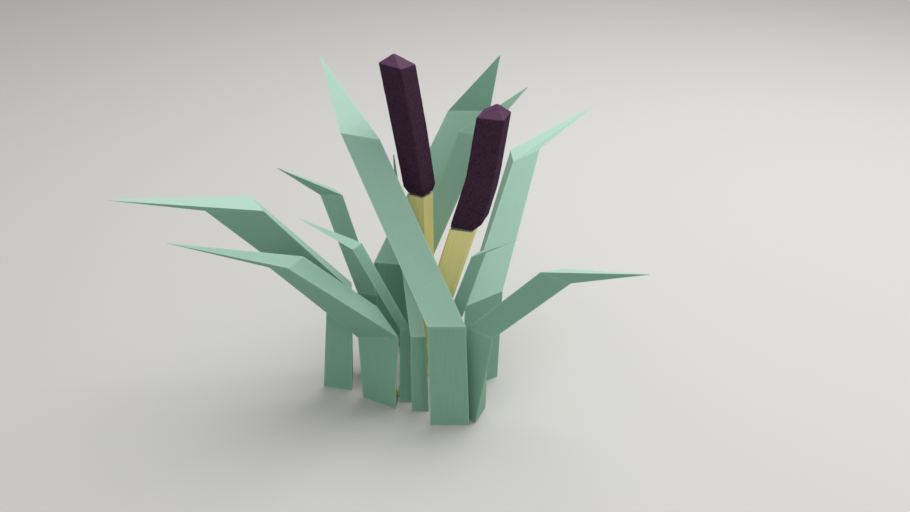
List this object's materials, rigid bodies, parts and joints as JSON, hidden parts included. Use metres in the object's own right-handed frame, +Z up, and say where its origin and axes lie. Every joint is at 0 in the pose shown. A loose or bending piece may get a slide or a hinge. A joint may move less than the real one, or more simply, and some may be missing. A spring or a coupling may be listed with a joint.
{
  "type": "cattail stalk clump",
  "caption": "Clump of cattail stalks with dark velvety seed heads among folded pointed leaves, cut off flat at ground level so that it stands on its cut bases.",
  "frame": {"origin": "middle of the tall stalk's flat cut foot, on the surface that the clump stands on", "axes": "+Z up along the stalks, +X to the right as the picture shows the clump and along its longest extent, +Y away from the viewer"},
  "size_m": [0.504, 0.355, 0.361],
  "materials": {
    "leaf_green": "waxy grey-green leaf blade with fine parallel veins",
    "stalk_straw": "matte ochre plant stem with fine lengthwise fibres",
    "head_brown": "dark purple-brown velvet of packed seed hairs"
  },
  "bodies": {
    "root": {"tall_stem": "stalk_straw", "tall_seed_head": "head_brown", "short_stem": "stalk_straw", "short_seed_head": "head_brown", "front_tall_leaf": "leaf_green", "centre_small_leaf": "leaf_green", "left_small_leaf": "leaf_green", "left_low_leaf": "leaf_green", "left_long_leaf": "leaf_green", "left_back_leaf": "leaf_green", "back_tall_leaf": "leaf_green", "back_slim_leaf": "leaf_green", "right_tall_leaf": "leaf_green", "right_small_leaf": "leaf_green", "right_low_leaf": "leaf_green"}
  },
  "joints": []
}
